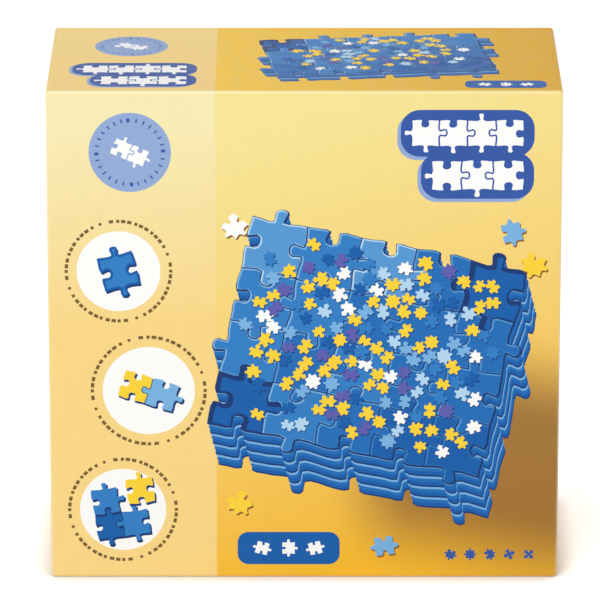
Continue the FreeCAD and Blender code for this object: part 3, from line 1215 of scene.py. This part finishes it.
class SortingTray(Draft):
    """One tray, floor down, with its tab towards +Y and its open side towards -Y."""

    def __init__(self, sizes):
        super().__init__()
        self.sizes = sizes
        self.half_span = sizes.span / 2
        self.half_length = self.half_span - sizes.reach
        self.shelf = sizes.foot + sizes.floor
        self.foot_half = self.half_length - sizes.wall - sizes.play

    def top(self, x, y):
        """The height of the rim, which drops to the floor between the corners of the open side."""
        sizes, blend = self.sizes, 1.2
        rise = (sizes.tab_wall - sizes.open_wall) / (2 * self.half_length)
        level = sizes.foot + (sizes.tab_wall + sizes.open_wall) / 2 + rise * y
        if y > sizes.corner - self.half_length:
            return level
        past = max(0, abs(x) - self.half_span + sizes.corner)
        return softly_lower(level, self.shelf + past / math.tan(sizes.mouth), blend)

    def inner_top(self, x, y, drop):
        """A height on the inner side of the rim, which ends at the floor."""
        return max(self.shelf, self.top(x, y) - drop)

    def step_top(self, x, y, rise):
        """A height on the step round the floor, which runs out where the wall does."""
        room = max(self.top(x, y) - self.shelf, 0) / (2 * self.sizes.ledge)
        return self.shelf + rise * min(1.0, room)

    def outline_ring(self, inset, height):
        """A ring along the tray's outline, at a height that may change with the place."""
        return self.ring([(x, y, height(x, y)) for x, y in tray_outline(self.sizes, inset)])

    def middle_ring(self, half, radius, height):
        """A square ring round the middle of the floor, and its outline."""
        outline = plate(2 * half, 2 * half, radius, count=4)
        return self.ring([(x, y, height) for x, y in outline]), outline

    def join(self, rings, finish):
        """Quads between each ring and the next."""
        for low, high in zip(rings, rings[1:]):
            self.strip(low, high, finish, True)

    def wall(self):
        """The wall, from its rounded foot over the rim and down to the step round the floor."""
        sizes, rings = self.sizes, []
        for angle in quarter_turn(EDGE_STEPS):
            inset, rise = sizes.edge * (1 - math.sin(angle)), sizes.edge * (1 - math.cos(angle))
            rings.append(self.outline_ring(inset, lambda x, y: sizes.foot + rise))
        for angle in quarter_turn(RIM_STEPS):
            inset, drop = sizes.rim * (1 - math.cos(angle)), sizes.rim * (1 - math.sin(angle))
            rings.append(self.outline_ring(inset, lambda x, y: self.top(x, y) - drop))
        for angle in quarter_turn(RIM_STEPS):
            out, drop = sizes.rim * (1 - math.sin(angle)), sizes.rim * (1 - math.cos(angle))
            rings.append(self.outline_ring(sizes.wall - out, lambda x, y: self.inner_top(x, y, drop)))
        for inset, rise in step_profile(sizes):
            rings.append(self.outline_ring(sizes.wall + inset, lambda x, y: self.step_top(x, y, rise)))
        self.join(rings, "tray_wall")

    def floor(self):
        """The floor inside the wall, with the square pan in its middle."""
        sizes, rings = self.sizes, []
        half, radius, soft = self.foot_half - sizes.wall, sizes.pan_corner, sizes.pan_soft
        for angle in quarter_turn(EDGE_STEPS):
            out, drop = soft * (1 - math.sin(angle)), soft * (1 - math.cos(angle))
            rings.append(self.middle_ring(half + out, radius + out, self.shelf - drop))
        for angle in quarter_turn(EDGE_STEPS):
            inset, rise = soft * (1 - math.cos(angle)), soft * (1 - math.sin(angle))
            rings.append(self.middle_ring(half - inset, radius, sizes.floor + rise))
        outline = tray_outline(sizes, sizes.wall + sizes.ledge_width + sizes.soft)
        self.patch(outline, [(rings[0][1], None)], "tray_floor", lambda x, y: (x, y, self.shelf))
        self.join([ring for ring, _ in rings], "tray_floor")
        self.face(rings[-1][0], "tray_floor")

    def underside(self):
        """The underside, with the foot that reaches down inside the rim of the tray below."""
        sizes = self.sizes
        rings = [self.middle_ring(self.foot_half, sizes.foot_corner, sizes.foot)]
        for angle in quarter_turn(EDGE_STEPS):
            inset, height = sizes.edge * (1 - math.cos(angle)), sizes.edge * (1 - math.sin(angle))
            rings.append(self.middle_ring(self.foot_half - inset, sizes.foot_corner, height))
        outline = tray_outline(sizes, sizes.edge)
        self.patch(outline, [(rings[0][1], None)], "tray_floor", lambda x, y: (x, y, sizes.foot))
        self.join([ring for ring, _ in rings], "tray_wall")
        self.face(rings[-1][0], "tray_floor")

    def build(self, name):
        """The object of the tray."""
        self.wall()
        self.floor()
        self.underside()
        return self.to_object(name)


def tray_places(sizes, back_y, board, centre_z):
    """Where each tray stands: the level and the turned tray of each pair, from the base outwards."""
    half_length = sizes.span / 2 - sizes.reach
    rise = (sizes.tab_wall - sizes.open_wall) / (2 * half_length)
    tilt = math.atan(rise)
    middle = (sizes.tab_wall + sizes.open_wall) / 2
    shift = middle * math.sin(tilt) / 2
    pitch = middle * (1 + math.cos(tilt)) + shift * rise
    across = shift + sizes.foot * math.sin(tilt)
    up = sizes.foot + middle + shift * rise - sizes.foot * math.cos(tilt)
    moved, tilted = Matrix.Translation((0, across, up)), Matrix.Rotation(tilt, 4, "X")
    turned = moved @ tilted @ Matrix.Rotation(math.pi, 4, "Z")
    places = []
    for pair in range(sizes.pairs):
        foot = Matrix.Translation((0, back_y - board - pair * pitch, centre_z))
        level = foot @ Matrix.Rotation(math.pi / 2, 4, "X")
        places += [level, level @ turned]
    return places


# Operators


class TRAYBOX_OT_build_lid(bpy.types.Operator):
    """Builds the printed lid in place of the packed one"""

    bl_idname = "traybox.build_lid"
    bl_label = "Build Lid"

    def execute(self, context):
        sizes = in_millimetres(context.scene.tray_box_sizes)
        low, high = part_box("box_lid")
        middle = (high.y - low.y) / MM / 2
        walls = {side: on_side(side_print(), side, middle) for side in ("right", "left")}
        walls["top"] = top_print().shapes
        place = Matrix.Translation((0, low.y / MM, (low.z + high.z) / 2 / MM))
        panel_inks = ("front_column", "front_field", "front_field")
        wall_inks = ("wall_column", "wall_field", "side_field")
        half = BoxHalf("box_lid", sizes, panel_inks, wall_inks)
        lid = half.build("lid", front_print().shapes, walls, place)
        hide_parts("box_lid")
        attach(lid, "lid")
        return {"FINISHED"}


class TRAYBOX_OT_build_base(bpy.types.Operator):
    """Builds the base in its plain covering paper in place of the packed one"""

    bl_idname = "traybox.build_base"
    bl_label = "Build Base"

    def execute(self, context):
        sizes = in_millimetres(context.scene.tray_box_sizes)
        low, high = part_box("box_base")
        middle = Matrix.Translation((0, high.y / MM, (low.z + high.z) / 2 / MM))
        place = middle @ Matrix.Rotation(math.pi, 4, "Z")
        plain = ("plain_wrap",) * 3
        half = BoxHalf("box_base", sizes, plain, plain)
        base = half.build("base", back_print().shapes, {}, place)
        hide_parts("box_base")
        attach(base, "base")
        return {"FINISHED"}


class TRAYBOX_OT_build_trays(bpy.types.Operator):
    """Builds the moulded trays in place of the packed ones"""

    bl_idname = "traybox.build_trays"
    bl_label = "Build Trays"

    def execute(self, context):
        sizes = in_millimetres(context.scene.tray_sizes)
        low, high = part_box("box_base")
        board = context.scene.tray_box_sizes.board / MM
        places = tray_places(sizes, high.y / MM, board, (low.z + high.z) / 2 / MM)
        first = SortingTray(sizes).build("sorting_tray")
        moulding = first.data
        bpy.data.objects.remove(first)
        for k, place in enumerate(places):
            name = "tray_%d" % (k + 1)
            mesh = moulding.copy()
            spot, turn = place.to_translation() * MM, place.to_quaternion()
            mesh.transform(Matrix.LocRotScale(spot, turn, None))
            tray = bpy.data.objects.new("sorting_" + name, mesh)
            context.scene.collection.objects.link(tray)
            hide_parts(name)
            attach(tray, "base")
        return {"FINISHED"}


class TRAYBOX_OT_set_stage(bpy.types.Operator):
    """Sets the floor, the lamps, the world and the camera"""

    bl_idname = "traybox.set_stage"
    bl_label = "Set Stage"

    def execute(self, context):
        scene = context.scene
        stage = scene.tray_box_stage
        scene.view_settings.view_transform = "Standard"
        self.floor(scene, stage)
        self.world(scene, stage)
        self.lamps(scene, stage)
        self.camera(scene, stage)
        return {"FINISHED"}

    def floor(self, scene, stage):
        """A wide plane of white paper."""
        half = 6.0
        corners = [(-half, -half, 0), (half, -half, 0), (half, half, 0), (-half, half, 0)]
        mesh = bpy.data.meshes.new("floor")
        mesh.from_pydata(corners, [], [(0, 1, 2, 3)])
        floor = bpy.data.objects.new("floor", mesh)
        scene.collection.objects.link(floor)
        mesh.materials.append(self.floor_paper(stage))

    def floor_paper(self, stage):
        """White paper, which also glows where it is seen, but not close to what stands on it."""
        tone, open_from = 0.9, 0.5
        made, nodes, shader = new_material("studio_floor")
        made.node_tree.nodes.remove(shader)
        paper = nodes.add("BsdfDiffuse", {"Color": (tone, tone, tone, 1.0)})
        path = nodes.add("LightPath").outputs
        seen = nodes.maths("MAXIMUM", path["Is Camera Ray"], path["Is Glossy Ray"])
        seen = nodes.maths("MAXIMUM", seen, path["Is Transmission Ray"])
        open_sky = nodes.add("AmbientOcclusion", {"Distance": stage.contact}).outputs["AO"]
        seen = nodes.maths("MULTIPLY", seen, nodes.ramp(open_sky, open_from, 1.0, soft=False))
        glow = nodes.add("Emission", {"Strength": nodes.maths("MULTIPLY", seen, stage.floor_glow)})
        both = nodes.add("AddShader")
        nodes.feed(both.inputs[0], paper.outputs[0])
        nodes.feed(both.inputs[1], glow.outputs[0])
        output = made.node_tree.nodes["Material Output"]
        nodes.feed(output.inputs["Surface"], both.outputs[0])
        return made

    def world(self, scene, stage):
        """An even sky that is seen as white."""
        world = bpy.data.worlds.new("studio")
        world.use_nodes = True
        nodes = Nodes(world.node_tree)
        plain = world.node_tree.nodes["Background"]
        plain.inputs["Color"].default_value = (1.0, 1.0, 1.0, 1.0)
        plain.inputs["Strength"].default_value = stage.sky_level
        white = nodes.add("Background", {"Color": (1.0, 1.0, 1.0, 1.0), "Strength": 1.0})
        path = nodes.add("LightPath").outputs
        mixed = nodes.add("MixShader", {"Fac": path["Is Camera Ray"]})
        nodes.feed(mixed.inputs[1], plain.outputs[0])
        nodes.feed(mixed.inputs[2], white.outputs[0])
        nodes.feed(world.node_tree.nodes["World Output"].inputs["Surface"], mixed.outputs[0])
        scene.world = world

    def lamps(self, scene, stage):
        """A key lamp from the upper left, and a weak one from the right."""
        middle, fill_power = Vector((0, -0.05, 0.12)), stage.lamp_power * 0.1
        for name, spot, size, power in (
            ("key", Vector((-1.0, -2.4, 2.2)), 1.3, stage.lamp_power),
            ("fill", Vector((1.8, -1.6, 1.6)), 1.6, fill_power),
        ):
            lamp = bpy.data.lights.new(name, "AREA")
            lamp.energy, lamp.size = power, size
            holder = bpy.data.objects.new(name, lamp)
            holder.location = spot
            holder.rotation_mode = "QUATERNION"
            holder.rotation_quaternion = (middle - spot).to_track_quat("-Z", "Y")
            scene.collection.objects.link(holder)

    def camera(self, scene, stage):
        """The photo's view, a little above the front, with stage.field across the picture."""
        sensor_width, nearest, farthest = 36, 0.05, 50
        front = cad_bounds[0].y
        lens = bpy.data.cameras.new("camera")
        camera = bpy.data.objects.new("camera", lens)
        scene.collection.objects.link(camera)
        back = Vector((0, -math.cos(stage.elevation), math.sin(stage.elevation)))
        aim = Vector((-stage.aim_left, front, stage.aim_height))
        camera.location = aim + back * stage.distance
        camera.rotation_mode = "QUATERNION"
        camera.rotation_quaternion = (-back).to_track_quat("-Z", "Y")
        lens.sensor_width = sensor_width
        lens.lens = sensor_width * stage.distance / stage.field
        lens.clip_start, lens.clip_end = nearest, farthest
        scene.camera = camera


class TRAYBOX_PT_panel(bpy.types.Panel):
    """Lists the steps and their sizes"""

    bl_idname = "TRAYBOX_PT_panel"
    bl_label = "Tray Box"
    bl_space_type = "VIEW_3D"
    bl_region_type = "UI"
    bl_category = "Tray Box"

    def draw(self, context):
        for step in STEPS:
            self.layout.operator(step.bl_idname)
        for name, group in GROUPS.items():
            settings = getattr(context.scene, name)
            box = self.layout.box()
            box.label(text=group.__doc__)
            for field in group.__annotations__:
                box.prop(settings, field)


STEPS = (TRAYBOX_OT_build_lid, TRAYBOX_OT_build_base, TRAYBOX_OT_build_trays, TRAYBOX_OT_set_stage)
CLASSES = (*GROUPS.values(), *STEPS, TRAYBOX_PT_panel)


def register():
    for item in CLASSES:
        bpy.utils.register_class(item)
    for name, group in GROUPS.items():
        setattr(bpy.types.Scene, name, PointerProperty(type=group))


def unregister():
    for name in GROUPS:
        delattr(bpy.types.Scene, name)
    for item in reversed(CLASSES):
        bpy.utils.unregister_class(item)


def main():
    register()
    bpy.ops.traybox.build_lid()
    bpy.ops.traybox.build_base()
    bpy.ops.traybox.build_trays()
    bpy.ops.traybox.set_stage()


if __name__ == "__main__":
    main()
